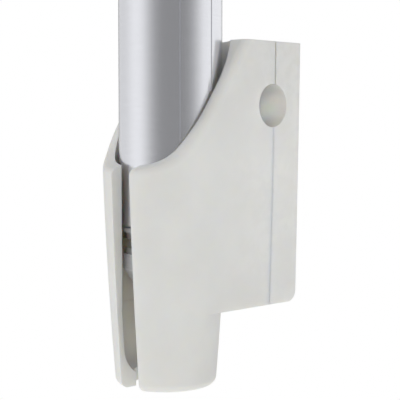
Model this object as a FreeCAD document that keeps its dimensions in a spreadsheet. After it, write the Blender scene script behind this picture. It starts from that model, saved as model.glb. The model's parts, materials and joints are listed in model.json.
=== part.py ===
import FreeCAD, Part
import math
import os

import Sketcher

# A high-speed air-turbine handpiece that stands tail-down in its slotted holder.
# Frame: millimetres, +Z up, X = 0 is the plane of symmetry, the holder's slot opens towards -Y.
# The origin is the middle of the holder's flat rear face, whose outward normal is +Y.

DRIVING_SIZES = {
    # holder: block and cup
    "block_height": 41.7,
    "axis_to_rear": 19.87,
    "rear_top_half_width": 9.6,
    "rear_bottom_half_width": 8.8,
    "seam_from_axis": 13.5,
    "seam_gap": 0.35,
    "rear_corner_radius": 1.8,
    "cup_length": 53.3,
    "cup_shift": 1.1,
    "cup_widest_radius": 10.02,
    "cup_widest_height": 2.3,
    "cup_side_bend": 684.0,
    "seam_side_bend": 1620.0,
    "rear_side_bend": 4000.0,
    "cup_foot_round": 1.4,
    "cup_floor": 1.4,
    "cup_floor_round": 4.9,
    "hose_hole_radius": 4.95,
    # holder: rim, slot, bore and hose room
    "rim_front_depth": 19.8,
    "rim_slope_foot": 7.63,
    "rim_slope_run": 14.18,
    "rim_bend_radius": 7.8,
    "slot_width": 3.86,
    "bore_radius": 8.3,
    "rim_round": 1.1,
    "bore_front_shift": 0.42,
    "bore_rear_shift": 1.4,
    "seat_depth": 28.85,
    "hose_room_front_radius": 7.8,
    "hose_room_front_shift": 0.9,
    "hose_room_rear_radius": 7.7,
    "hose_room_rear_shift": 0.15,
    "hose_room_depth": 41.0,
    "hose_room_waist_radius": 7.7,
    "hose_room_foot_radius": 7.26,
    # holder: side screw hole and assembly screws
    "side_hole_from_axis": 13.16,
    "side_hole_depth": 10.04,
    "side_hole_radius": 2.1,
    "counterbore_radius": 3.38,
    "counterbore_depth": 6.0,
    "screw_half_spacing": 5.4,
    "screw_top_depth": 19.5,
    "screw_bottom_depth": 35.5,
    "screw_radius": 1.25,
    "screw_head_radius": 2.2,
    "screw_head_height": 1.6,
    "screw_sink_radius": 2.4,
    "screw_sink_depth": 1.9,
    "screw_length": 8.4,
    "screw_socket_radius": 1.0,
    # handpiece: place in the holder, handle and neck
    "tail_depth": 39.7,
    "barrel_radius": 8.0,
    "barrel_wall": 0.8,
    "barrel_start": 11.0,
    "barrel_shoulder": 66.0,
    "barrel_end": 90.0,
    "waist_radius": 5.7,
    "waist_bend": 63.2,
    "grip_line_radius": 0.13,
    "neck_bend_angle": 22.0,
    "neck_bend_radius": 24.0,
    "neck_straight": 17.5,
    "neck_start_radius": 5.7,
    "neck_end_radius": 4.5,
    "neck_wall": 0.7,
    "collar_height": 1.2,
    "collar_radius": 5.8,
    "head_stub_length": 7.6,
    # handpiece: coupler at the tail
    "thread_radius": 5.1,
    "thread_core_radius": 4.8,
    "thread_length": 2.4,
    "thread_pitch": 0.8,
    "coupler_body_radius": 7.4,
    "coupler_groove_radius": 6.9,
    "coupler_ring_radius": 7.55,
    "coupler_ring_seat_radius": 6.1,
    "coupler_cone_radius": 6.0,
    "coupler_cone_end": 4.5,
    "coupler_ring_start": 7.9,
    "coupler_ring_end": 9.3,
    "coupler_shoulder_start": 10.2,
    "coupler_shoulder_end": 10.9,
    "spigot_radius": 6.45,
    "spigot_end": 28.0,
    "sleeve_radius": 6.5,
    "sleeve_start": 11.6,
    "sleeve_end": 30.0,
    "seal_groove_radius": 5.45,
    "seal_groove_width": 1.3,
    "seal_thickness": 1.0,
    "seal_outer_radius": 6.47,
    "first_seal_height": 14.0,
    "seal_spacing": 4.5,
    "socket_radius": 4.3,
    "socket_depth": 2.2,
    "drive_port_radius": 1.1,
    "drive_port_forward": 1.7,
    "exhaust_port_radius": 1.4,
    "exhaust_port_back": 2.2,
    "small_port_radius": 0.55,
    "small_port_aside": 2.6,
    "port_tube_wall": 0.2,
    "manifold_start": 31.0,
    "manifold_end": 38.0,
    # head and turbine, heights along the head's own axis
    "head_radius": 5.6,
    "head_nose_height": -6.6,
    "head_nose_radius": 4.4,
    "head_nose_bend": 3.2,
    "head_side_start": -4.4,
    "head_cavity_radius": 4.75,
    "head_cavity_start": -2.2,
    "bearing_seat_radius": 3.75,
    "bearing_seat_start": -4.9,
    "nose_hole_radius": 1.95,
    "stub_passage_radius": 3.4,
    "cap_start": 4.6,
    "cap_end": 6.9,
    "cap_bevel": 0.6,
    "cap_skirt_start": 0.9,
    "cap_skirt_radius": 4.7,
    "cap_mouth_radius": 3.76,
    "cap_lip_radius": 2.4,
    "cap_lip_start": 3.6,
    "cap_lip_end": 4.0,
    "button_radius": 3.7,
    "button_start": 5.2,
    "button_edge_height": 6.75,
    "button_top": 7.25,
    "button_dome": 13.94,
    "button_pin_radius": 0.9,
    "button_pin_start": 4.45,
    "bearing_outer_radius": 3.175,
    "bearing_bore_radius": 1.5875,
    "bearing_half_width": 1.19,
    "ball_circle_radius": 2.38,
    "ball_radius": 0.49,
    "race_groove_radius": 0.515,
    "race_half_gap": 0.33,
    "race_groove_half_width": 0.3954,
    "cage_half_gap": 0.18,
    "cage_half_height": 0.62,
    "cage_pocket_radius": 0.52,
    "front_bearing_height": -3.45,
    "rear_bearing_height": 2.1,
    "head_seal_circle": 3.4625,
    "head_seal_thickness": 0.55,
    "spindle_start": -6.35,
    "spindle_end": 3.6,
    "spindle_bore_radius": 1.15,
    "spindle_shelf_radius": 0.65,
    "spindle_shelf_start": -0.9,
    "spindle_shelf_end": -0.5,
    "impeller_radius": 4.35,
    "impeller_hub_radius": 2.5,
    "impeller_start": -1.95,
    "impeller_end": 0.45,
    "blade_thickness": 0.34,
    "blade_lean": 24.0,
    "bur_shank_radius": 0.8,
    "chuck_radius": 1.1,
    "chuck_start": -6.2,
    "chuck_end": -1.8,
    "chuck_slit": 0.22,
    "plunger_rod_radius": 0.55,
    "plunger_head_radius": 1.1,
    "plunger_head_start": 3.45,
    "plunger_end": 4.35,
    "chuck_spring_inner": 0.62,
    "chuck_spring_outer": 1.08,
    "chuck_spring_leaf": 0.12,
    "chuck_spring_wave": 0.18,
    "button_spring_inner": 2.7,
    "button_spring_outer": 3.6,
    "button_spring_height": 0.36,
    "spray_ring_inner": 2.3,
    "spray_ring_outer": 4.1,
    "spray_ring_thickness": 0.3,
    "spray_port_radius": 0.25,
}

BALL_COUNT = 7
BLADE_COUNT = 12
SPRAY_COUNT = 3
SLIT_COUNT = 3
THREAD_TURNS = 3
SEAL_COUNT = 3
SPRING_LEAVES = 8
GRIP_LINE_ANGLES = (-34.6, 5.5, 174.5, 214.6)


class Size:
    """A number together with the sheet expression that gives it."""

    def __init__(self, value, text):
        self.value = float(value)
        self.text = text

    def joined(self, sign, other, value):
        return Size(value, "({} {} {})".format(self.text, sign, as_size(other).text))

    def __add__(self, other):
        return self.joined("+", other, self.value + as_size(other).value)

    def __sub__(self, other):
        return self.joined("-", other, self.value - as_size(other).value)

    def __mul__(self, other):
        return self.joined("*", other, self.value * as_size(other).value)

    def __truediv__(self, other):
        return self.joined("/", other, self.value / as_size(other).value)

    def __neg__(self):
        return Size(-self.value, "(-1 * {})".format(self.text))


def as_size(number):
    if isinstance(number, Size):
        return number
    return Size(number, repr(float(number)))


doc = FreeCAD.newDocument("handpiece_in_holder")
sheet = doc.addObject("Spreadsheet::Sheet", "sizes")
for row, (alias, number) in enumerate(DRIVING_SIZES.items(), start=1):
    sheet.set("A{}".format(row), alias)
    sheet.set("B{}".format(row), str(number))
    sheet.setAlias("B{}".format(row), alias)
doc.recompute()

nodes = {}


def size(alias):
    return Size(DRIVING_SIZES[alias], "sizes." + alias)


def vector(x, y, z):
    return FreeCAD.Vector(as_size(x).value, as_size(y).value, as_size(z).value)


# ---------------------------------------------------------------- sketch helpers

def bind(sketch, index, amount):
    """Tie constraint number index of a sketch to the sheet."""
    sketch.setExpression("Constraints[{}]".format(index), amount.text)


def pin(sketch, kind, geometry, end, amount):
    """Hold one coordinate of a point; end 3 is the centre of an arc or circle."""
    amount = as_size(amount)
    index = sketch.addConstraint(Sketcher.Constraint(kind, -1, 1, geometry, end, amount.value))
    if "sizes." in amount.text:
        bind(sketch, index, amount)


def pin_height(sketch, geometry, end, y):
    pin(sketch, "DistanceY", geometry, end, y)


def pin_point(sketch, geometry, end, x, y):
    pin(sketch, "DistanceX", geometry, end, x)
    pin_height(sketch, geometry, end, y)


def pin_radius(sketch, geometry, radius):
    amount = as_size(radius)
    index = sketch.addConstraint(Sketcher.Constraint("Radius", geometry, abs(amount.value)))
    if "sizes." in amount.text:
        bind(sketch, index, amount)


def new_sketch(body, plane, name, offset=None):
    sketch = body.newObject("Sketcher::SketchObject", name)
    base = [feature for feature in body.Origin.OriginFeatures if feature.Role == plane][0]
    sketch.AttachmentSupport = [(base, "")]
    sketch.MapMode = "FlatFace"
    if offset is not None:
        sketch.AttachmentOffset = offset
    return sketch


def shifted(x, y, z, axis=None, angle=0.0):
    turn = FreeCAD.Rotation(axis or FreeCAD.Vector(0, 0, 1), angle)
    return FreeCAD.Placement(vector(x, y, z), turn)


def arc_between(start, end, radius, bends_left):
    """The short arc from start to end; its centre lies to the left of travel when bends_left."""
    middle = (start + end) * 0.5
    chord = end - start
    side = FreeCAD.Vector(-chord.y, chord.x, 0).normalize()
    reach = math.sqrt(max(radius ** 2 - (chord.Length / 2) ** 2, 0.0))
    centre = middle + side * (reach if bends_left else -reach)
    first, last = (start, end) if bends_left else (end, start)
    circle = Part.Circle(centre, FreeCAD.Vector(0, 0, 1), radius)
    first_angle = math.atan2(first.y - centre.y, first.x - centre.x)
    last_angle = math.atan2(last.y - centre.y, last.x - centre.x)
    if last_angle < first_angle:
        last_angle += 2 * math.pi
    return Part.ArcOfCircle(circle, first_angle, last_angle)


def outline(sketch, points):
    """A closed outline. A point (x, y, radius, "left" or "right") starts an arc, (x, y) a line."""
    ends = []
    for index, point in enumerate(points):
        after = points[(index + 1) % len(points)]
        start = vector(point[0], point[1], 0)
        end = vector(after[0], after[1], 0)
        if len(point) == 4:
            bends_left = point[3] == "left"
            curve = arc_between(start, end, as_size(point[2]).value, bends_left)
            geometry = sketch.addGeometry(curve)
            if (end - start).Length > 1.999 * curve.Radius:
                pin_height(sketch, geometry, 3, point[1])
            else:
                pin_radius(sketch, geometry, point[2])
            ends.append((geometry, 1, 2) if bends_left else (geometry, 2, 1))
        else:
            geometry = sketch.addGeometry(Part.LineSegment(start, end))
            ends.append((geometry, 1, 2))
    for index, (geometry, begin, _) in enumerate(ends):
        before, _, finish = ends[index - 1]
        sketch.addConstraint(Sketcher.Constraint("Coincident", before, finish, geometry, begin))
        pin_point(sketch, geometry, begin, points[index][0], points[index][1])
    return sketch


def rectangle(sketch, left, bottom, right, top):
    return outline(sketch, [(left, bottom), (right, bottom), (right, top), (left, top)])


def circles(sketch, places):
    for x, y, radius in places:
        circle = Part.Circle(vector(x, y, 0), FreeCAD.Vector(0, 0, 1), as_size(radius).value)
        geometry = sketch.addGeometry(circle)
        pin_point(sketch, geometry, 3, x, y)
        pin_radius(sketch, geometry, radius)
    return sketch


# ---------------------------------------------------------------- feature helpers

def new_body(label, place):
    body = doc.addObject("PartDesign::Body", label)
    body.Label = label
    body.Placement = place
    nodes[label] = body
    return body


def tip_volume(body):
    doc.recompute()
    return body.Shape.Volume if body.Tip is not None else 0.0


def finish_feature(body, feature, volume_before, adds):
    """Make the feature the tip and check that it added or cut something."""
    body.Tip = feature
    change = tip_volume(body) - volume_before
    if (change < 1e-5) if adds else (change > -1e-5):
        raise ValueError("{} of {} changed the volume by {}".format(feature.Name, body.Label, change))
    return feature


def extrude(body, sketch, kind, length, both_ways=False, reverse=False):
    before = tip_volume(body)
    feature = body.newObject("PartDesign::" + kind, body.Label + "_" + kind.lower())
    feature.Profile = sketch
    amount = as_size(length)
    feature.Length = amount.value
    if "sizes." in amount.text:
        feature.setExpression("Length", amount.text)
    feature.Midplane = both_ways
    feature.Reversed = reverse
    return finish_feature(body, feature, before, kind == "Pad")


def revolve(body, sketch, kind="Revolution", angle=360.0, both_ways=False):
    before = tip_volume(body)
    feature = body.newObject("PartDesign::" + kind, body.Label + "_" + kind.lower())
    feature.Profile = sketch
    feature.ReferenceAxis = (sketch, ["V_Axis"])
    feature.Angle = angle
    feature.Midplane = both_ways
    return finish_feature(body, feature, before, kind == "Revolution")


def loft(body, sketches, kind="AdditiveLoft", ruled=False):
    before = tip_volume(body)
    feature = body.newObject("PartDesign::" + kind, body.Label + "_" + kind.lower())
    feature.Profile = sketches[0]
    feature.Sections = sketches[1:]
    feature.Ruled = ruled
    return finish_feature(body, feature, before, kind == "AdditiveLoft")


def repeat(body, feature, sketch, count):
    """Repeat a feature evenly about the normal of its sketch."""
    before = tip_volume(body)
    adds = feature.TypeId in ("PartDesign::Pad", "PartDesign::Revolution")
    pattern = body.newObject("PartDesign::PolarPattern", body.Label + "_pattern")
    pattern.Originals = [feature]
    pattern.Axis = (sketch, ["N_Axis"])
    pattern.Angle = 360.0
    pattern.Occurrences = count
    return finish_feature(body, pattern, before, adds)


def round_edges(body, radius, wanted):
    """Round the edges of the body's tip that the test wanted(edge) picks."""
    doc.recompute()
    base = body.Tip
    names = []
    for index, edge in enumerate(base.Shape.Edges, start=1):
        if wanted(edge):
            names.append("Edge{}".format(index))
    if not names:
        raise ValueError("no edge to round on " + body.Label)
    feature = body.newObject("PartDesign::Fillet", body.Label + "_fillet")
    feature.Base = (base, names)
    feature.Radius = radius.value
    feature.setExpression("Radius", radius.text)
    body.Tip = feature
    doc.recompute()
    return feature


def turned(label, place, points):
    """A body turned about its own Z axis from an outline of (radius, height) points."""
    body = new_body(label, place)
    sketch = outline(new_sketch(body, "XZ_Plane", label + "_profile"), points)
    revolve(body, sketch)
    return body


def ring(label, place, inner, outer, bottom, top):
    return turned(label, place, [(inner, bottom), (outer, bottom), (outer, top), (inner, top)])


def torus(name, height, radius, thickness):
    """A primitive ring of round section, centred on Z at the given height."""
    part = doc.addObject("Part::Torus", name)
    part.setExpression("Radius1", as_size(radius).text)
    part.setExpression("Radius2", as_size(thickness / 2).text)
    part.setExpression("Placement.Base.z", as_size(height).text)
    return part


def group(label, place, members):
    """Several separate solids that share one node."""
    compound = doc.addObject("Part::Compound", label)
    compound.Label = label
    compound.Links = members
    compound.Placement = place
    nodes[label] = compound
    return compound


# ---------------------------------------------------------------- places

# The holder's sketches start on the barrel's axis, level with the top of the block.
holder_place = FreeCAD.Placement(
    vector(0, -size("axis_to_rear"), size("block_height") / 2), FreeCAD.Rotation())

# The handpiece's sketches start on the same axis, at the tail's end.
tail_height = size("block_height") / 2 - size("tail_depth")
handpiece_place = FreeCAD.Placement(vector(0, -size("axis_to_rear"), tail_height), FreeCAD.Rotation())

bend_angle = math.radians(DRIVING_SIZES["neck_bend_angle"])
neck_base = DRIVING_SIZES["barrel_end"] + DRIVING_SIZES["collar_height"]


def neck_point(along):
    """Where the neck's centre line is, and how far it has turned, at a distance past the handle."""
    bend_radius = DRIVING_SIZES["neck_bend_radius"]
    turn = min(along / bend_radius, bend_angle)
    rest = max(along - bend_radius * bend_angle, 0.0)
    forward = bend_radius * (1 - math.cos(turn)) + rest * math.sin(turn)
    up = bend_radius * math.sin(turn) + rest * math.cos(turn)
    return forward, neck_base + up, math.degrees(turn)


neck_length = DRIVING_SIZES["neck_bend_radius"] * bend_angle + DRIVING_SIZES["neck_straight"]
head_forward, head_height, _ = neck_point(neck_length)

# The head's own +Z runs out through the push button; its -Z is the way the bur leaves.
head_place = handpiece_place * FreeCAD.Placement(
    FreeCAD.Vector(0, -head_forward, head_height),
    FreeCAD.Rotation(FreeCAD.Vector(1, 0, 0), 90 + DRIVING_SIZES["neck_bend_angle"]))


# ---------------------------------------------------------------- holder

def cup_radius(height):
    """The cup's outer radius at a height: its side is one long arc, widest just above the block."""
    bend = size("cup_side_bend")
    below = size("cup_widest_height") - height
    reach = Size(math.sqrt(bend.value ** 2 - below.value ** 2),
                 "sqrt({0} * {0} - {1} * {1})".format(bend.text, below.text))
    return size("cup_widest_radius") - bend + reach


def cup_half(body, name, top_height, half):
    """Half of the cup's outside, turned about the cup's axis; its side is a long shallow arc."""
    side = -1.0 if half == "front" else 1.0
    foot = -size("cup_length")
    foot_round = size("cup_foot_round")
    foot_radius = cup_radius(foot + foot_round)
    way = "left" if half == "front" else "right"
    points = [
        (0.0, top_height),
        (cup_radius(top_height) * side, top_height, size("cup_side_bend"), way),
        (foot_radius * side, foot + foot_round, foot_round, way),
        ((foot_radius - foot_round) * side, foot),
        (0.0, foot),
    ]
    sketch = new_sketch(body, "YZ_Plane", name, shifted(-size("cup_shift"), 0, 0))
    revolve(body, outline(sketch, points), angle=180.0, both_ways=True)


def block_section(body, name, distance, top_half, bottom_half, bend):
    """The block's outline across X at a distance behind the barrel's axis."""
    offset = shifted(0, 0, -as_size(distance))
    sketch = new_sketch(body, "XZ_Plane", name, offset)
    bottom = -size("block_height")
    points = [
        (-top_half, 0.0, bend, "left"),
        (-bottom_half, bottom),
        (bottom_half, bottom, bend, "left"),
        (top_half, 0.0),
    ]
    return outline(sketch, points)


# The block's sides run from the cup's curved sides to the nearly flat sides of the rear face.
cup_top_radius = cup_radius(as_size(0.0))
cup_block_radius = cup_radius(-size("block_height"))
seam_share = (size("seam_from_axis") + size("cup_shift")) / (size("axis_to_rear") + size("cup_shift"))
seam_top_half = cup_top_radius - (cup_top_radius - size("rear_top_half_width")) * seam_share
seam_bottom_half = cup_block_radius - (cup_block_radius - size("rear_bottom_half_width")) * seam_share


def cut_side_hole(body):
    """The screw hole across the block, counterbored from the +X side."""
    height = -size("side_hole_depth")
    hole = circles(new_sketch(body, "YZ_Plane", body.Label + "_hole"),
                   [(size("side_hole_from_axis"), height, size("side_hole_radius"))])
    extrude(body, hole, "Pocket", 40.0, both_ways=True)
    floor = shifted(0, 0, size("rear_top_half_width") - size("counterbore_depth"))
    sink = circles(new_sketch(body, "YZ_Plane", body.Label + "_sink", floor),
                   [(size("side_hole_from_axis"), height, size("counterbore_radius"))])
    extrude(body, sink, "Pocket", 10.0, reverse=True)


def screw_places(radius):
    """The four assembly screws, seen from the front: (across, height, radius)."""
    places = []
    for height in (-size("screw_top_depth"), -size("screw_bottom_depth")):
        for across in (-size("screw_half_spacing"), size("screw_half_spacing")):
            places.append((across, height, radius))
    return places


def bore_plan(sketch):
    """The barrel's room: two half circles, centred in front of and behind the barrel's axis."""
    radius = size("bore_radius")
    front = -size("bore_front_shift")
    rear = size("bore_rear_shift")
    points = [
        (-radius, front, radius, "left"),
        (radius, front),
        (radius, rear, radius, "left"),
        (-radius, rear),
    ]
    return outline(sketch, points)


def hose_room_plan(sketch):
    """The room below the barrel: its narrower rear half leaves a shelf that the barrel stands on."""
    front_radius = size("hose_room_front_radius")
    front = -size("hose_room_front_shift")
    rear_radius = size("hose_room_rear_radius")
    rear = size("hose_room_rear_shift")
    points = [
        (-front_radius, front, front_radius, "left"),
        (front_radius, front),
        (front_radius, rear),
        (rear_radius, rear, rear_radius, "left"),
        (-rear_radius, rear),
        (-front_radius, rear),
    ]
    return outline(sketch, points)


def on_outer_rim(edge):
    """Whether an edge runs where the rim's cut meets the outside of the cup or the block."""
    middle = edge.valueAt((edge.FirstParameter + edge.LastParameter) / 2)
    depth = DRIVING_SIZES["rim_front_depth"]
    run = DRIVING_SIZES["rim_slope_run"]
    foot = DRIVING_SIZES["rim_slope_foot"]
    slope_height = (middle.y + foot) * depth / run - depth
    height = max(slope_height, -depth)
    outside = math.hypot(middle.x, middle.y) > DRIVING_SIZES["bore_radius"] + 1.2
    return outside and abs(middle.z - height) < 1.0 and abs(middle.x) > DRIVING_SIZES["slot_width"] / 2


def make_cradle():
    """The slotted cup and the front of the block, one moulding."""
    body = new_body("holder_cradle", holder_place)
    cup_half(body, "cup_front", as_size(0.0), "front")
    joint = block_section(body, "block_front", -size("cup_shift"), cup_top_radius, cup_block_radius,
                          size("cup_side_bend"))
    seam = block_section(body, "block_seam", size("seam_from_axis"), seam_top_half,
                         seam_bottom_half, size("seam_side_bend"))
    loft(body, [joint, seam], ruled=True)
    cup_half(body, "cup_rear", -size("block_height"), "rear")

    slope_top = size("rim_slope_run") - size("rim_slope_foot")
    slope = math.atan2(DRIVING_SIZES["rim_front_depth"], DRIVING_SIZES["rim_slope_run"])
    tangent = size("rim_bend_radius") * math.tan(slope / 2)
    rim = outline(new_sketch(body, "YZ_Plane", "rim_cut"), [
        (-20.0, 6.0),
        (-20.0, -size("rim_front_depth")),
        (-size("rim_slope_foot") - tangent, -size("rim_front_depth"), size("rim_bend_radius"), "left"),
        (tangent * math.cos(slope) - size("rim_slope_foot"),
         tangent * math.sin(slope) - size("rim_front_depth")),
        (slope_top, 0.0),
        (slope_top, 6.0),
    ])
    extrude(body, rim, "Pocket", 40.0, both_ways=True)
    round_edges(body, size("rim_round"), on_outer_rim)

    bore = bore_plan(new_sketch(body, "XY_Plane", "bore"))
    extrude(body, bore, "Pocket", size("seat_depth"))
    hose_room = hose_room_plan(new_sketch(body, "XY_Plane", "hose_room"))
    extrude(body, hose_room, "Pocket", size("hose_room_depth"))
    foot_place = shifted(-size("cup_shift"), 0, 0)
    floor = size("cup_floor") - size("cup_length")
    floor_round = size("cup_floor_round")
    foot = outline(new_sketch(body, "YZ_Plane", "hose_room_foot", foot_place), [
        (0.0, floor),
        (size("hose_room_foot_radius") - floor_round, floor, floor_round, "left"),
        (size("hose_room_foot_radius"), floor + floor_round),
        (size("hose_room_waist_radius"), -size("hose_room_depth")),
        (0.0, -size("hose_room_depth")),
    ])
    revolve(body, foot, kind="Groove")
    hose_hole = circles(new_sketch(body, "XY_Plane", "hose_hole", shifted(0, 0, -size("tail_depth"))),
                        [(0.0, -size("cup_shift"), size("hose_hole_radius"))])
    extrude(body, hose_hole, "Pocket", 20.0)

    slot = rectangle(new_sketch(body, "XY_Plane", "slot"), -size("slot_width") / 2, -15.0,
                     size("slot_width") / 2, -3.0)
    extrude(body, slot, "Pocket", size("cup_length") + 1.0)

    cut_side_hole(body)
    seam_plane = shifted(0, 0, -size("seam_from_axis"))
    pilots = circles(new_sketch(body, "XZ_Plane", "pilot_holes", seam_plane),
                     screw_places(size("screw_radius")))
    extrude(body, pilots, "Pocket", size("screw_length") - size("axis_to_rear") + size("screw_sink_depth")
            + size("seam_from_axis") + 0.3, reverse=True)
    return body


def make_rear_block():
    """The rear half of the block, screwed on from behind; it carries the flat mounting face."""
    body = new_body("rear_block", holder_place)
    seam = block_section(body, "rear_block_seam", size("seam_from_axis"), seam_top_half,
                         seam_bottom_half, size("seam_side_bend"))
    rear = block_section(body, "rear_block_back", size("axis_to_rear"), size("rear_top_half_width"),
                         size("rear_bottom_half_width"), size("rear_side_bend"))
    loft(body, [rear, seam], ruled=True)
    back = size("axis_to_rear")
    bottom = -size("block_height")
    corner = size("rear_corner_radius")
    foot = outline(new_sketch(body, "YZ_Plane", "rear_foot_round"), [
        (back - corner, bottom, corner, "left"),
        (back, bottom + corner),
        (back + 1.0, bottom + corner),
        (back + 1.0, bottom - 1.0),
        (back - corner, bottom - 1.0),
    ])
    extrude(body, foot, "Pocket", 40.0, both_ways=True)
    cut_side_hole(body)
    relief = rectangle(new_sketch(body, "YZ_Plane", "seam_relief"), size("seam_from_axis") - 1.0,
                       -size("side_hole_depth"), size("seam_from_axis") + size("seam_gap"), 1.0)
    extrude(body, relief, "Pocket", 40.0, both_ways=True)
    rear_plane = shifted(0, 0, -size("axis_to_rear"))
    holes = circles(new_sketch(body, "XZ_Plane", "screw_holes", rear_plane),
                    screw_places(size("screw_radius")))
    extrude(body, holes, "Pocket", 12.0, reverse=True)
    sinks = circles(new_sketch(body, "XZ_Plane", "screw_sinks", rear_plane),
                    screw_places(size("screw_sink_radius")))
    extrude(body, sinks, "Pocket", size("screw_sink_depth"), reverse=True)
    return body


def make_assembly_screw():
    """Four pan-head screws that hold the rear block to the cradle, their heads sunk in its back."""
    head_back = -size("axis_to_rear") + size("screw_sink_depth")
    body = new_body("assembly_screws", holder_place)
    seat = shifted(0, 0, head_back)
    shanks = circles(new_sketch(body, "XZ_Plane", "screw_shanks", seat),
                     screw_places(size("screw_radius")))
    extrude(body, shanks, "Pad", size("screw_length"))
    heads = circles(new_sketch(body, "XZ_Plane", "screw_heads", seat),
                    screw_places(size("screw_head_radius")))
    extrude(body, heads, "Pad", size("screw_head_height"), reverse=True)
    top_of_head = shifted(0, 0, head_back - size("screw_head_height"))
    sockets = circles(new_sketch(body, "XZ_Plane", "screw_sockets", top_of_head),
                      screw_places(size("screw_socket_radius")))
    extrude(body, sockets, "Pocket", size("screw_head_height") / 2, reverse=True)


# ---------------------------------------------------------------- handpiece: coupler

def port_places(wall=0.0):
    """Drive air, exhaust, water and chip air, seen from the tail: (across, back, radius)."""
    return [
        (0.0, -size("drive_port_forward"), size("drive_port_radius") - wall),
        (0.0, size("exhaust_port_back"), size("exhaust_port_radius") - wall),
        (-size("small_port_aside"), 0.0, size("small_port_radius") - wall),
        (size("small_port_aside"), 0.0, size("small_port_radius") - wall),
    ]


def thread_points():
    """The coupler's external thread, drawn as rings, from the tail upwards."""
    points = []
    pitch = size("thread_pitch")
    for turn in range(THREAD_TURNS):
        points.append((size("thread_core_radius"), pitch * turn))
        points.append((size("thread_radius"), pitch * (turn + 0.35)))
        points.append((size("thread_radius"), pitch * (turn + 0.65)))
    return points


def seal_height(number):
    return size("first_seal_height") + size("seal_spacing") * number


def spigot_points():
    """The spigot's outside from the tail upwards, with a groove for each sealing ring."""
    points = []
    half = size("seal_groove_width") / 2
    for number in range(SEAL_COUNT):
        for radius, height in (("spigot_radius", -half), ("seal_groove_radius", -half),
                               ("seal_groove_radius", half), ("spigot_radius", half)):
            points.append((size(radius), seal_height(number) + height))
    return points


def make_coupler():
    """The fixed tail piece: hose thread, cone, ring seat and the spigot that the handle turns on."""
    ring_seat = size("coupler_ring_seat_radius")
    groove = size("coupler_groove_radius")
    points = [(0.0, size("socket_depth")), (size("socket_radius"), size("socket_depth")),
              (size("socket_radius"), 0.0)]
    points += thread_points()
    points += [
        (size("thread_core_radius"), size("thread_length")),
        (size("coupler_cone_radius"), size("thread_length")),
        (size("coupler_body_radius"), size("coupler_cone_end")),
        (size("coupler_body_radius"), size("coupler_ring_start") - 1.0),
        (groove, size("coupler_ring_start") - 1.0),
        (groove, size("coupler_ring_start")),
        (ring_seat, size("coupler_ring_start")),
        (ring_seat, size("coupler_ring_end")),
        (groove, size("coupler_ring_end")),
        (groove, size("coupler_shoulder_start")),
        (size("coupler_ring_radius") - 0.1, size("coupler_shoulder_start")),
        (size("coupler_ring_radius") - 0.1, size("coupler_shoulder_end")),
        (size("spigot_radius"), size("coupler_shoulder_end")),
    ]
    points += spigot_points()
    points += [(size("spigot_radius"), size("spigot_end") - 0.5),
               (size("spigot_radius") - 0.5, size("spigot_end")), (0.0, size("spigot_end"))]
    body = turned("tail_coupler", handpiece_place, points)
    ports = circles(new_sketch(body, "XY_Plane", "coupler_ports"), port_places())
    extrude(body, ports, "Pocket", 70.0, both_ways=True)

    ring("tail_ring", handpiece_place, ring_seat, size("coupler_ring_radius"),
         size("coupler_ring_start"), size("coupler_ring_end"))
    centre = size("seal_outer_radius") - size("seal_thickness") / 2
    seals = [torus("coupler_seal", seal_height(number), centre, size("seal_thickness"))
             for number in range(SEAL_COUNT)]
    group("coupler_seals", handpiece_place, seals)

    tubes = new_body("port_tubes", handpiece_place)
    rings = circles(new_sketch(tubes, "XY_Plane", "port_tube_rings", shifted(0, 0, 0.3)),
                    port_places() + port_places(size("port_tube_wall")))
    extrude(tubes, rings, "Pad", size("socket_depth") - 0.3)


# ---------------------------------------------------------------- handpiece: handle and neck

def waist(radius_drop):
    """The handle's side from the shoulder to the neck: an arc out and an arc back in."""
    top = size("barrel_radius") - radius_drop
    end = size("waist_radius") - radius_drop
    middle = (size("barrel_shoulder") + size("barrel_end")) / 2
    return top, end, (top + end) / 2, middle


def make_handle():
    """The straight barrel with its waist, the sleeve it turns on and the block that holds the tubes."""
    bend = size("waist_bend")
    top, end, half, middle = waist(as_size(0.0))
    inner_top, inner_end, inner_half, _ = waist(size("barrel_wall"))
    start = size("barrel_start")
    shoulder = size("barrel_shoulder")
    finish = size("barrel_end")
    barrel = turned("handle_barrel", handpiece_place, [
        (inner_top, start),
        (top - 0.3, start),
        (top, start + 0.3),
        (top, shoulder, bend, "left"),
        (half, middle, bend, "right"),
        (end, finish),
        (inner_end, finish, bend, "left"),
        (inner_half, middle, bend, "right"),
        (inner_top, shoulder),
    ])
    places = []
    for angle in GRIP_LINE_ANGLES:
        turn = math.radians(angle)
        places.append((size("barrel_radius") * math.cos(turn), size("barrel_radius") * math.sin(turn),
                       size("grip_line_radius")))
    lines = circles(new_sketch(barrel, "XY_Plane", "grip_lines", shifted(0, 0, start + 2.0)), places)
    extrude(barrel, lines, "Pocket", shoulder - start - 4.0, reverse=True)

    ring("swivel_sleeve", handpiece_place, size("sleeve_radius"), inner_top,
         size("sleeve_start"), size("sleeve_end"))
    manifold = turned("tube_manifold", handpiece_place, [
        (0.0, size("manifold_start")), (inner_top, size("manifold_start")),
        (inner_top, size("manifold_end")), (0.0, size("manifold_end"))])
    ports = circles(new_sketch(manifold, "XY_Plane", "manifold_ports"), port_places())
    extrude(manifold, ports, "Pocket", 90.0, both_ways=True)
    ring("neck_collar", handpiece_place, inner_end, size("collar_radius"), finish,
         finish + size("collar_height"))


def neck_ring(body, name, along, radius):
    """A circle square to the neck's centre line, some distance along it."""
    forward, height, turn = neck_point(along)
    place = FreeCAD.Placement(FreeCAD.Vector(0, -forward, height),
                              FreeCAD.Rotation(FreeCAD.Vector(1, 0, 0), turn))
    return circles(new_sketch(body, "XY_Plane", name, place), [(0.0, 0.0, radius)])


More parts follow.
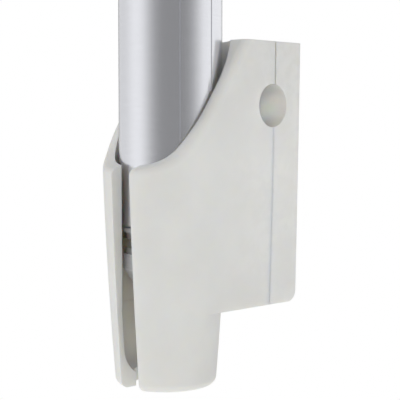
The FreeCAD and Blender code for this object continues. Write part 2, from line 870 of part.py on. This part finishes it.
def make_neck():
    """The bent, tapering neck shell, brazed to the head's stub."""
    body = new_body("neck_shell", handpiece_place)
    bent = DRIVING_SIZES["neck_bend_radius"] * bend_angle
    length = neck_length - DRIVING_SIZES["head_stub_length"]
    stations = [0.0, bent / 3, bent * 2 / 3, bent, length]
    taper = size("neck_start_radius") - size("neck_end_radius")
    for kind, wall in (("AdditiveLoft", as_size(0.0)), ("SubtractiveLoft", size("neck_wall"))):
        rings = [neck_ring(body, "neck_station", along,
                           size("neck_start_radius") - taper * (along / length) - wall)
                 for along in stations]
        loft(body, rings, kind=kind)


def bent_tube(label, across, forward, radius, bore, end_along):
    """A tube inside the handle and neck: straight, one bend, straight."""
    body = new_body(label, handpiece_place)
    path = new_sketch(body, "YZ_Plane", label + "_path", shifted(0, 0, across))
    start = vector(-as_size(forward), size("manifold_end"), 0)
    base = vector(-as_size(forward), neck_base, 0)
    bend = DRIVING_SIZES["neck_bend_radius"] - as_size(forward).value
    centre = FreeCAD.Vector(-DRIVING_SIZES["neck_bend_radius"], neck_base, 0)
    turned_point = centre + FreeCAD.Vector(bend * math.cos(bend_angle), bend * math.sin(bend_angle), 0)
    run = end_along - DRIVING_SIZES["neck_bend_radius"] * bend_angle
    last = turned_point + FreeCAD.Vector(-math.sin(bend_angle), math.cos(bend_angle), 0) * run
    path.addGeometry(Part.LineSegment(start, base))
    path.addGeometry(arc_between(base, turned_point, bend, True))
    path.addGeometry(Part.LineSegment(turned_point, last))
    for geometry in range(3):
        path.addConstraint(Sketcher.Constraint("Block", geometry))
    section = new_sketch(body, "XY_Plane", label + "_section", shifted(0, 0, size("manifold_end")))
    circles(section, [(across, -as_size(forward), radius), (across, -as_size(forward), bore)])
    pipe = body.newObject("PartDesign::AdditivePipe", label + "_pipe")
    pipe.Profile = section
    pipe.Spine = (path, ["Edge1", "Edge2", "Edge3"])
    finish_feature(body, pipe, 0.0, True)


def make_tubes():
    """Drive air, water and chip air tubes from the manifold to the head."""
    wall = size("port_tube_wall")
    reach = neck_length - DRIVING_SIZES["head_stub_length"]
    bent_tube("drive_air_tube", as_size(0.0), size("drive_port_forward"), size("drive_port_radius"),
              size("drive_port_radius") - wall, reach + 2.0)
    for label, side in (("water_tube", -1.0), ("chip_air_tube", 1.0)):
        bent_tube(label, size("small_port_aside") * side, as_size(0.0), size("small_port_radius"),
                  size("small_port_radius") - wall, reach + 1.0)


# ---------------------------------------------------------------- handpiece: head

def make_head():
    """The head's housing with its neck stub, back cap, spray ring and push button."""
    nose = size("head_nose_height")
    side = size("head_side_start")
    radius = size("head_radius")
    housing = turned("head_housing", head_place, [
        (0.0, nose),
        (size("head_nose_radius"), nose),
        (size("head_nose_radius") + 0.35, nose + 0.15, size("head_nose_bend"), "left"),
        (radius, side),
        (radius, size("cap_start")),
        (0.0, size("cap_start")),
    ])
    stub = circles(new_sketch(housing, "XZ_Plane", "neck_stub"), [(0.0, 0.0, size("neck_end_radius"))])
    extrude(housing, stub, "Pad", size("head_stub_length"))
    seat = size("bearing_seat_radius")
    hollow = outline(new_sketch(housing, "XZ_Plane", "head_hollow"), [
        (0.0, nose - 1.0),
        (size("nose_hole_radius"), nose - 1.0),
        (size("nose_hole_radius"), size("bearing_seat_start")),
        (seat, size("bearing_seat_start")),
        (seat, size("head_cavity_start")),
        (size("head_cavity_radius"), size("head_cavity_start")),
        (size("head_cavity_radius"), size("cap_start") + 1.0),
        (0.0, size("cap_start") + 1.0),
    ])
    revolve(housing, hollow, kind="Groove")
    passage = circles(new_sketch(housing, "XZ_Plane", "stub_passage"),
                      [(0.0, 0.3, size("stub_passage_radius"))])
    extrude(housing, passage, "Pocket", size("head_stub_length") + 1.0, reverse=True)

    mouth = size("cap_mouth_radius")
    turned("back_cap", head_place, [
        (seat, size("cap_skirt_start")),
        (size("cap_skirt_radius"), size("cap_skirt_start")),
        (size("cap_skirt_radius"), size("cap_start")),
        (radius, size("cap_start")),
        (radius, size("cap_end") - size("cap_bevel"), size("cap_bevel"), "left"),
        (radius - size("cap_bevel"), size("cap_end")),
        (mouth, size("cap_end")),
        (mouth, size("cap_lip_end")),
        (size("cap_lip_radius"), size("cap_lip_end")),
        (size("cap_lip_radius"), size("cap_lip_start")),
        (seat, size("cap_lip_start")),
    ])
    turned("push_button", head_place, [
        (0.0, size("button_pin_start")),
        (size("button_pin_radius"), size("button_pin_start")),
        (size("button_pin_radius"), size("button_start")),
        (size("button_radius"), size("button_start")),
        (size("button_radius"), size("button_edge_height"), size("button_dome"), "left"),
        (0.0, size("button_top")),
    ])
    ring("button_spring", head_place, size("button_spring_inner"), size("button_spring_outer"),
         size("cap_lip_end"), size("cap_lip_end") + size("button_spring_height"))

    spray = ring("spray_ring", head_place, size("spray_ring_inner"), size("spray_ring_outer"),
                 nose - size("spray_ring_thickness"), nose)
    middle = (size("spray_ring_inner") + size("spray_ring_outer")) / 2
    sketch = circles(new_sketch(spray, "XY_Plane", "spray_ports"), [(0.0, middle, size("spray_port_radius"))])
    ports = extrude(spray, sketch, "Pocket", 20.0, both_ways=True)
    repeat(spray, ports, sketch, SPRAY_COUNT)


def make_bearing(name, height):
    """One ball bearing: inner and outer rings with grooved races, balls and cage."""
    half = size("bearing_half_width")
    circle = size("ball_circle_radius")
    gap = size("race_half_gap")
    groove = size("race_groove_half_width")
    centre = head_place * shifted(0, 0, height)
    turned(name + "_inner_ring", centre, [
        (size("bearing_bore_radius"), -half),
        (circle - gap, -half),
        (circle - gap, -groove, size("race_groove_radius"), "right"),
        (circle - gap, groove),
        (circle - gap, half),
        (size("bearing_bore_radius"), half),
    ])
    turned(name + "_outer_ring", centre, [
        (circle + gap, -half),
        (size("bearing_outer_radius"), -half),
        (size("bearing_outer_radius"), half),
        (circle + gap, half),
        (circle + gap, groove, size("race_groove_radius"), "right"),
        (circle + gap, -groove),
    ])
    balls = []
    for number in range(BALL_COUNT):
        angle = 2 * math.pi * number / BALL_COUNT
        ball = doc.addObject("Part::Sphere", name + "_ball")
        ball.setExpression("Radius", "sizes.ball_radius")
        ball.Placement = shifted(circle.value * math.cos(angle), circle.value * math.sin(angle), 0)
        balls.append(ball)
    group(name + "_balls", centre, balls)

    cage = new_body(name + "_cage", centre)
    band = rectangle(new_sketch(cage, "XZ_Plane", name + "_cage_band"),
                     circle - size("cage_half_gap"), -size("cage_half_height"),
                     circle + size("cage_half_gap"), size("cage_half_height"))
    revolve(cage, band)
    hole = circles(new_sketch(cage, "YZ_Plane", name + "_cage_pocket"),
                   [(0.0, 0.0, size("cage_pocket_radius"))])
    pocket = extrude(cage, hole, "Pocket", 5.0, reverse=True)
    before = tip_volume(cage)
    pattern = cage.newObject("PartDesign::PolarPattern", name + "_cage_pockets")
    pattern.Originals = [pocket]
    pattern.Axis = (hole, ["V_Axis"])
    pattern.Angle = 360.0
    pattern.Occurrences = BALL_COUNT
    finish_feature(cage, pattern, before, False)

    seal = doc.addObject("Part::Torus", name + "_seal")
    seal.Label = name + "_seal"
    seal.setExpression("Radius1", "sizes.head_seal_circle")
    seal.setExpression("Radius2", "sizes.head_seal_thickness / 2")
    seal.Placement = centre
    nodes[name + "_seal"] = seal


def make_rotor():
    """Spindle, impeller and bur chuck with its release plunger."""
    outer = size("bearing_bore_radius")
    bore = size("spindle_bore_radius")
    shelf = size("spindle_shelf_radius")
    turned("spindle", head_place, [
        (bore, size("spindle_start")),
        (outer, size("spindle_start")),
        (outer, size("spindle_end")),
        (bore, size("spindle_end")),
        (bore, size("spindle_shelf_end")),
        (shelf, size("spindle_shelf_end")),
        (shelf, size("spindle_shelf_start")),
        (bore, size("spindle_shelf_start")),
    ])

    impeller = ring("impeller", head_place, outer, size("impeller_hub_radius"),
                    size("impeller_start"), size("impeller_end"))
    base = shifted(0, 0, size("impeller_start"))
    lean = math.tan(math.radians(DRIVING_SIZES["blade_lean"]))
    root = size("impeller_hub_radius") - 0.3
    tip = size("impeller_radius")
    thick = size("blade_thickness")
    sketch = outline(new_sketch(impeller, "XY_Plane", "blade", base), [
        (root, 0.0), (tip, (tip - root) * lean), (tip, (tip - root) * lean + thick), (root, thick)])
    blade = extrude(impeller, sketch, "Pad", size("impeller_end") - size("impeller_start"))
    repeat(impeller, blade, sketch, BLADE_COUNT)

    chuck = ring("bur_chuck", head_place, size("bur_shank_radius"), size("chuck_radius"),
                 size("chuck_start"), size("chuck_end"))
    half = size("chuck_slit") / 2
    slit_sketch = rectangle(new_sketch(chuck, "XY_Plane", "chuck_slit", shifted(0, 0, size("chuck_start"))),
                            0.3, -half, 2.0, half)
    slit = extrude(chuck, slit_sketch, "Pocket", size("chuck_end") - size("chuck_start") - 1.2, reverse=True)
    repeat(chuck, slit, slit_sketch, SLIT_COUNT)

    turned("chuck_plunger", head_place, [
        (0.0, size("chuck_end") + 0.85),
        (size("plunger_rod_radius"), size("chuck_end") + 0.85),
        (size("plunger_rod_radius"), size("plunger_head_start")),
        (size("plunger_head_radius"), size("plunger_head_start")),
        (size("plunger_head_radius"), size("plunger_end")),
        (0.0, size("plunger_end")),
    ])

    springs = new_body("chuck_spring", head_place)
    sketch = new_sketch(springs, "XZ_Plane", "disc_springs")
    inner = size("chuck_spring_inner")
    rim = size("chuck_spring_outer")
    leaf = size("chuck_spring_leaf")
    wave = size("chuck_spring_wave")
    for number in range(SPRING_LEAVES):
        low = size("spindle_shelf_end") + (wave + leaf) * (number * 1.05)
        first, last = (wave, 0.0) if number % 2 else (0.0, wave)
        outline(sketch, [(inner, low + first), (rim, low + last),
                         (rim, low + last + leaf), (inner, low + first + leaf)])
    revolve(springs, sketch)


def make_preload_washer():
    """The thin spring washer that loads the rear bearing against the back cap's lip."""
    top_of_bearing = size("rear_bearing_height") + size("bearing_half_width")
    ring("preload_washer", head_place, size("cap_lip_radius"), size("bearing_outer_radius"),
         top_of_bearing, size("cap_lip_start"))


def write_parts():
    """Check every object, then write one file for each node."""
    doc.recompute()
    for thing in doc.Objects:
        if "Invalid" in thing.State or "Error" in thing.State:
            raise ValueError("{} failed: {}".format(thing.Label, thing.State))
    os.makedirs("parts", exist_ok=True)
    for label, thing in nodes.items():
        shape = thing.Shape
        if shape.isNull() or not shape.isValid() or not shape.Solids:
            raise ValueError("bad shape in " + label)
        shape.exportStep("parts/{}.step".format(label))
        print("{:28s} solids {:3d}  volume {:10.3f}".format(label, len(shape.Solids), shape.Volume))


make_cradle()
make_rear_block()
make_assembly_screw()
make_coupler()
make_handle()
make_neck()
make_tubes()
make_head()
make_bearing("front_bearing", size("front_bearing_height"))
make_bearing("rear_bearing", size("rear_bearing_height"))
make_rotor()
make_preload_washer()
write_parts()
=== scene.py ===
import json
import math

import bpy
from mathutils import Matrix, Vector


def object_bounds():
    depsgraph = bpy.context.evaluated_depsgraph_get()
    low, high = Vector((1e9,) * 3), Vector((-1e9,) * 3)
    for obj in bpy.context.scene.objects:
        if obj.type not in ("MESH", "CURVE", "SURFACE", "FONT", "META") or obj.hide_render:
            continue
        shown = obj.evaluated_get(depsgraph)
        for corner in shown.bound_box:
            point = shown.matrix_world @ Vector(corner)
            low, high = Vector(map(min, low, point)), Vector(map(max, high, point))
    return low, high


# A high-speed handpiece standing in its plastic holder. Metres, +Z up; the origin is the middle of
# the holder's rear face, X = 0 is the plane of symmetry and the holder's slot opens towards -Y.

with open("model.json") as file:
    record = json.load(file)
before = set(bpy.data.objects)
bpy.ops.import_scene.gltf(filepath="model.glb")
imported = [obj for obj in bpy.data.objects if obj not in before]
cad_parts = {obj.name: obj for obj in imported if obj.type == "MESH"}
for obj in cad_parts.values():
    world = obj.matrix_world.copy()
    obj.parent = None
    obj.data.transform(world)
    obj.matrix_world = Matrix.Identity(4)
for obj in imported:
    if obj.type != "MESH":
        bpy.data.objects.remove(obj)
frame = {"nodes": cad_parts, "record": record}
cad_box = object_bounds()
nodes = frame["nodes"]

MM = 0.001

CAMERA_AZIMUTH = math.radians(43.78)
CAMERA_PITCH = math.radians(3.68)
CAMERA_LENS = 103.67
CAMERA_PLACE = Vector((126.93, -145.73, 7.61)) * MM
SENSOR_WIDTH = 36.0
CLIP_NEAR = 0.01
CLIP_FAR = 20.0

FLOOR_DROP = 0.16
FLOOR_RADIUS = 0.45
FLOOR_SIDES = 96
FLOOR_GLOW = 0.5
FLOOR_ROUGHNESS = 0.9
PAPER_COLOUR = (0.9, 0.9, 0.9, 1.0)
WHITE = (1.0, 1.0, 1.0, 1.0)

# The room that metal mirrors. Each dim part has its light, its middle, and the angles from the middle
# where it begins and where it is at its dimmest.
ROOM_LIGHT = 1.0
GAP_LIGHT = 0.30
GAP_AZIMUTH = math.radians(51.3)
GAP_EDGES = (math.radians(80.0), math.radians(15.0))
CORNER_LIGHT = 0.78
CORNER_AZIMUTH = math.radians(-100.0)
CORNER_EDGES = (math.radians(62.0), math.radians(15.0))
BACK_LIGHT = 0.35
BACK_AZIMUTH = math.radians(223.8)
BACK_EDGES = (math.radians(30.0), math.radians(8.0))
DIM_HEIGHTS = (0.35, 0.8)
# The even light that matt surfaces get in place of the mirrored room.
SOFT_LIGHT = 0.36

HOLDER_MIDDLE = (0.0, -0.01, 0.0)
COUNTERBORE_WALL = (0.0085, -0.0064, 0.0108)

# Most of a noise texture's values lie between these.
NOISE_LOW = 0.3
NOISE_HIGH = 0.7
NO_STRETCH = (1.0, 1.0, 1.0)
ALONG_Z = (1.0, 1.0, 0.04)
ACROSS_Z = (0.05, 0.05, 1.0)


def linear(red, green, blue):
    """A display colour, 0 to 255, as the linear colour the shaders use."""
    def channel(value):
        value /= 255.0
        return value / 12.92 if value <= 0.04045 else ((value + 0.055) / 1.055) ** 2.4
    return (channel(red), channel(green), channel(blue), 1.0)


# ---------------------------------------------------------------- camera, stage and light

def add_camera():
    data = bpy.data.cameras.new("camera")
    data.lens = CAMERA_LENS
    data.sensor_width = SENSOR_WIDTH
    data.clip_start = CLIP_NEAR
    data.clip_end = CLIP_FAR
    camera = bpy.data.objects.new("camera", data)
    bpy.context.scene.collection.objects.link(camera)
    turn = Matrix.Rotation(CAMERA_AZIMUTH, 4, "Z")
    tilt = Matrix.Rotation(math.pi / 2 - CAMERA_PITCH, 4, "X")
    camera.matrix_world = Matrix.Translation(CAMERA_PLACE) @ turn @ tilt
    bpy.context.scene.camera = camera


def white_paper(name):
    """Seamless white paper; the glow stands in for the lamps that wash it out."""
    material = bpy.data.materials.new(name)
    material.use_nodes = True
    shader = material.node_tree.nodes["Principled BSDF"]
    shader.inputs["Base Color"].default_value = PAPER_COLOUR
    shader.inputs["Roughness"].default_value = FLOOR_ROUGHNESS
    shader.inputs["Emission Color"].default_value = WHITE
    shader.inputs["Emission Strength"].default_value = FLOOR_GLOW
    return material


def add_stage():
    """A round pale floor well below the holder, which hangs on its rear face."""
    low = Vector(cad_box[0]).z - FLOOR_DROP
    rim = []
    for step in range(FLOOR_SIDES):
        turn = 2 * math.pi * step / FLOOR_SIDES
        rim.append((FLOOR_RADIUS * math.cos(turn), FLOOR_RADIUS * math.sin(turn), low))
    mesh = bpy.data.meshes.new("floor")
    mesh.from_pydata(rim, [], [tuple(range(FLOOR_SIDES))])
    mesh.materials.append(white_paper("floor_white"))
    floor = bpy.data.objects.new("floor", mesh)
    bpy.context.scene.collection.objects.link(floor)


def add_world():
    """A bright room with three dim parts for mirrored light, an even one for matt surfaces, and white
    behind everything."""
    world = bpy.data.worlds.new("studio")
    bpy.context.scene.world = world
    world.use_nodes = True
    tree = world.node_tree
    background = tree.nodes["Background"]
    background.inputs["Color"].default_value = WHITE

    def math_node(operation, first, second):
        node = tree.nodes.new("ShaderNodeMath")
        node.operation = operation
        for value, socket in ((first, node.inputs[0]), (second, node.inputs[1])):
            if isinstance(value, float):
                socket.default_value = value
            else:
                tree.links.new(value, socket)
        return node.outputs["Value"]

    def smooth_range(value, low, high, to_low, to_high):
        node = tree.nodes.new("ShaderNodeMapRange")
        node.interpolation_type = "SMOOTHSTEP"
        for key, number in (("From Min", low), ("From Max", high),
                            ("To Min", to_low), ("To Max", to_high)):
            node.inputs[key].default_value = number
        tree.links.new(value, node.inputs["Value"])
        return node.outputs["Result"]

    direction = tree.nodes.new("ShaderNodeTexCoord").outputs["Generated"]
    split = tree.nodes.new("ShaderNodeSeparateXYZ")
    tree.links.new(direction, split.inputs["Vector"])
    east, north = split.outputs["X"], split.outputs["Y"]
    squares = math_node("ADD", math_node("MULTIPLY", east, east),
                        math_node("MULTIPLY", north, north))
    level = math_node("SQRT", squares, 0.0)
    up = math_node("ABSOLUTE", split.outputs["Z"], 0.0)
    low_down = smooth_range(up, DIM_HEIGHTS[0], DIM_HEIGHTS[1], 1.0, 0.0)

    def dimmer(azimuth, edges, light):
        """How much light a dim part of the room takes away in each direction."""
        towards = math_node("ADD", math_node("MULTIPLY", east, math.sin(azimuth)),
                            math_node("MULTIPLY", north, -math.cos(azimuth)))
        across = smooth_range(math_node("DIVIDE", towards, level),
                              math.cos(edges[0]), math.cos(edges[1]), 0.0, 1.0)
        return math_node("MULTIPLY", math_node("MULTIPLY", across, low_down), ROOM_LIGHT - light)

    dark = math_node("ADD", dimmer(GAP_AZIMUTH, GAP_EDGES, GAP_LIGHT),
                     dimmer(CORNER_AZIMUTH, CORNER_EDGES, CORNER_LIGHT))
    dark = math_node("ADD", dark, dimmer(BACK_AZIMUTH, BACK_EDGES, BACK_LIGHT))
    room = math_node("SUBTRACT", ROOM_LIGHT, dark)
    path = tree.nodes.new("ShaderNodeLightPath")
    diffuse = path.outputs["Is Diffuse Ray"]
    mirrored = math_node("MULTIPLY", room, math_node("SUBTRACT", 1.0, diffuse))
    lit = math_node("ADD", mirrored, math_node("MULTIPLY", diffuse, SOFT_LIGHT))
    seen = math_node("MAXIMUM", lit, path.outputs["Is Camera Ray"])
    tree.links.new(seen, background.inputs["Strength"])


def add_softbox(name, azimuth, height, distance, width, tall, power, spread=180.0,
                aim=HOLDER_MIDDLE):
    """An area light that metal doesn't mirror; azimuth 0 is in front, at -Y, and width and tall are
    its sides in metres."""
    aim = Vector(aim)
    turn = math.radians(azimuth)
    place = aim + Vector((math.sin(turn) * distance, -math.cos(turn) * distance, height))
    data = bpy.data.lights.new(name, "AREA")
    data.shape = "RECTANGLE"
    data.size = width
    data.size_y = tall
    data.energy = power
    data.spread = math.radians(spread)
    light = bpy.data.objects.new(name, data)
    light.location = place
    light.rotation_euler = (aim - place).to_track_quat("-Z", "Y").to_euler()
    light.visible_glossy = False
    light.visible_camera = False
    bpy.context.scene.collection.objects.link(light)


# ---------------------------------------------------------------- material helpers

class Shader:
    """A Principled material whose textures are laid out in millimetres of the object's own space."""

    def __init__(self, name):
        self.material = bpy.data.materials.new(name)
        self.material.use_nodes = True
        self.tree = self.material.node_tree
        self.shader = self.tree.nodes["Principled BSDF"]
        place = self.tree.nodes.new("ShaderNodeTexCoord").outputs["Object"]
        self.place = self.vector_math("SCALE", place, scale=1.0 / MM)

    def node(self, kind, **settings):
        node = self.tree.nodes.new(kind)
        for key, value in settings.items():
            setattr(node, key, value)
        return node

    def link(self, source, target):
        self.tree.links.new(source, target)

    def fixed(self, **sockets):
        for key, value in sockets.items():
            self.shader.inputs[key.replace("_", " ")].default_value = value

    def vector_math(self, operation, vector, factors=None, scale=None):
        node = self.node("ShaderNodeVectorMath", operation=operation)
        self.link(vector, node.inputs[0])
        if factors is not None:
            node.inputs[1].default_value = factors
        if scale is not None:
            node.inputs["Scale"].default_value = scale
        return node.outputs["Vector"]

    def noise(self, scale, detail, stretch=None, roughness=0.5):
        """Noise with a grain of about 1/scale millimetres, longer where stretch is below 1."""
        place = self.place
        if stretch is not None:
            place = self.vector_math("MULTIPLY", place, factors=stretch)
        node = self.node("ShaderNodeTexNoise")
        node.inputs["Scale"].default_value = scale
        node.inputs["Detail"].default_value = detail
        node.inputs["Roughness"].default_value = roughness
        self.link(place, node.inputs["Vector"])
        return node.outputs["Fac"]

    def remap(self, value, low, high, to_low, to_high):
        node = self.node("ShaderNodeMapRange")
        node.inputs["From Min"].default_value = low
        node.inputs["From Max"].default_value = high
        node.inputs["To Min"].default_value = to_low
        node.inputs["To Max"].default_value = to_high
        self.link(value, node.inputs["Value"])
        return node.outputs["Result"]

    def mix(self, factor, first, second):
        """Blend two colours, or two colour outputs, by a factor output."""
        node = self.node("ShaderNodeMix", data_type="RGBA")
        self.link(factor, node.inputs["Factor"])
        for value, socket in ((first, node.inputs["A"]), (second, node.inputs["B"])):
            if isinstance(value, tuple):
                socket.default_value = value
            else:
                self.link(value, socket)
        return node.outputs["Result"]

    def math(self, operation, first, second):
        node = self.node("ShaderNodeMath", operation=operation)
        for value, socket in ((first, node.inputs[0]), (second, node.inputs[1])):
            if isinstance(value, (int, float)):
                socket.default_value = value
            else:
                self.link(value, socket)
        return node.outputs["Value"]

    def edges(self, low, high):
        """0 on flat faces, 1 on sharp outer edges."""
        pointiness = self.node("ShaderNodeNewGeometry").outputs["Pointiness"]
        return self.remap(pointiness, low, high, 0.0, 1.0)

    def bump(self, height, distance, strength, edge_round=None):
        """Relief from a height output; edge_round softens the look of sharp edges by that radius."""
        node = self.node("ShaderNodeBump")
        if edge_round is not None:
            soft = self.node("ShaderNodeBevel", samples=4)
            soft.inputs["Radius"].default_value = edge_round
            self.link(soft.outputs["Normal"], node.inputs["Normal"])
        node.inputs["Strength"].default_value = strength
        node.inputs["Distance"].default_value = distance
        self.link(height, node.inputs["Height"])
        self.link(node.outputs["Normal"], self.shader.inputs["Normal"])

    def colour(self, output):
        self.link(output, self.shader.inputs["Base Color"])

    def rough(self, output):
        self.link(output, self.shader.inputs["Roughness"])


# ---------------------------------------------------------------- materials

def holder_plastic():
    """Warm white moulded plastic: a fine spark-eroded grain, faint cloudiness, and a painted
    highlight that lightens sharp outer edges.
    """
    shader = Shader("holder_plastic")
    cloud = shader.remap(shader.noise(0.12, 3.0), 0.35, 0.65, 0.0, 1.0)
    body = shader.mix(cloud, linear(226, 226, 223), linear(230, 230, 227))
    # Painted highlight: sharp outer edges are mixed towards a lighter white, patchy by noise, in
    # place of light caught on rounded edges.
    edge_highlight_patchiness = shader.remap(shader.noise(0.6, 2.0), 0.4, 0.6, 0.1, 0.5)
    painted_edge_highlight = shader.math("MULTIPLY", shader.edges(0.54, 0.62), edge_highlight_patchiness)
    shader.colour(shader.mix(painted_edge_highlight, body, linear(238, 238, 235)))
    grain = shader.noise(9.0, 2.0)
    shader.rough(shader.remap(grain, NOISE_LOW, NOISE_HIGH, 0.40, 0.50))
    shader.bump(grain, 0.0015 * MM, 0.5, edge_round=0.12 * MM)
    shader.fixed(Specular_IOR_Level=0.25, Subsurface_Weight=0.45, Subsurface_Scale=0.002,
                 Subsurface_Radius=(1.0, 0.8, 0.5))
    return shader.material


def satin_metal(name, first, second, rough_low, rough_high, stretch, grain=6.0, depth=0.003,
                metallic=1.0):
    """Metal with fine lines along one direction: stretch is small along the lines."""
    shader = Shader(name)
    lines = shader.noise(grain, 3.0, stretch=stretch, roughness=0.6)
    shader.colour(shader.mix(shader.remap(lines, NOISE_LOW, NOISE_HIGH, 0.0, 1.0), first, second))
    shader.rough(shader.remap(lines, NOISE_LOW, NOISE_HIGH, rough_low, rough_high))
    shader.bump(lines, depth * MM, 0.6)
    shader.fixed(Metallic=metallic)
    return shader.material


def polished_metal(name, tint, rough_low=0.06, rough_high=0.16):
    """Bright metal with faint handling smears."""
    shader = Shader(name)
    smear = shader.noise(0.6, 4.0)
    scratch = shader.noise(9.0, 2.0, stretch=(1.0, 1.0, 0.15))
    darker = tuple(channel * 0.88 for channel in tint[:3]) + (1.0,)
    shader.colour(shader.mix(shader.remap(smear, 0.35, 0.7, 0.0, 1.0), tint, darker))
    shader.rough(shader.remap(smear, NOISE_LOW, NOISE_HIGH, rough_low, rough_high))
    shader.bump(scratch, 0.0012 * MM, 0.5)
    shader.fixed(Metallic=1.0)
    return shader.material


def seal_rubber():
    """Black nitrile with a dull, slightly dusty skin."""
    shader = Shader("seal_rubber")
    dust = shader.noise(3.0, 4.0)
    shader.colour(shader.mix(shader.remap(dust, 0.5, 0.75, 0.0, 1.0),
                             linear(26, 26, 27), linear(52, 51, 50)))
    shader.rough(shader.remap(dust, NOISE_LOW, NOISE_HIGH, 0.5, 0.72))
    shader.bump(dust, 0.01 * MM, 0.5)
    return shader.material


def cage_plastic():
    """Brown cotton-filled resin of a bearing cage."""
    shader = Shader("cage_plastic")
    fibre = shader.noise(7.0, 4.0, stretch=(1.0, 1.0, 0.3))
    shader.colour(shader.mix(shader.remap(fibre, 0.35, 0.65, 0.0, 1.0),
                             linear(122, 82, 46), linear(158, 112, 66)))
    shader.rough(shader.remap(fibre, NOISE_LOW, NOISE_HIGH, 0.45, 0.6))
    shader.bump(fibre, 0.008 * MM, 0.5)
    return shader.material


def make_materials():
    return {
        "holder_plastic": holder_plastic(),
        "barrel_aluminium": satin_metal("barrel_aluminium",
                                        linear(226, 227, 232), linear(231, 232, 237),
                                        0.245, 0.265, ACROSS_Z, grain=7.0, depth=0.0001),
        "coupler_metal": satin_metal("coupler_metal", linear(218, 219, 221), linear(230, 231, 233),
                                     0.42, 0.5, ACROSS_Z, metallic=0.4),
        "head_metal": satin_metal("head_metal", linear(214, 215, 219), linear(224, 225, 229),
                                  0.22, 0.30, NO_STRETCH, grain=14.0, depth=0.0015),
        "tube_steel": satin_metal("tube_steel", linear(190, 190, 192), linear(212, 212, 214),
                                  0.2, 0.3, ALONG_Z),
        "bearing_steel": polished_metal("bearing_steel", linear(205, 206, 210)),
        "polished_steel": polished_metal("polished_steel", linear(226, 227, 230)),
        "screw_steel": satin_metal("screw_steel", linear(176, 178, 180), linear(204, 205, 206),
                                   0.26, 0.42, NO_STRETCH, grain=4.0),
        "spring_steel": polished_metal("spring_steel", linear(150, 152, 158), 0.15, 0.3),
        "bronze_bush": satin_metal("bronze_bush", linear(176, 140, 82), linear(198, 162, 104),
                                   0.25, 0.4, ACROSS_Z),
        "seal_rubber": seal_rubber(),
        "cage_plastic": cage_plastic(),
    }


def dress_nodes(materials):
    """Give every CAD node the procedural material of its slot."""
    for part in frame["record"]["subparts"]:
        mesh = nodes[part["node"]].data
        mesh.materials.clear()
        mesh.materials.append(materials[part["material_slot"]])


add_camera()
add_stage()
add_world()
add_softbox("fill_softbox", azimuth=36.0, height=0.15, distance=0.7, width=0.5, tall=0.5, power=1.35)
add_softbox("left_softbox", azimuth=-55.0, height=0.25, distance=0.7, width=0.4, tall=0.6, power=1.25)
add_softbox("right_softbox", azimuth=95.0, height=0.0, distance=0.07, width=0.03, tall=0.03,
            power=0.0011, spread=75.0)
add_softbox("hole_light", azimuth=42.0, height=0.0, distance=0.03, width=0.003, tall=0.004,
            power=0.00002, spread=8.0, aim=COUNTERBORE_WALL)
dress_nodes(make_materials())
bpy.context.scene.view_settings.view_transform = "Standard"
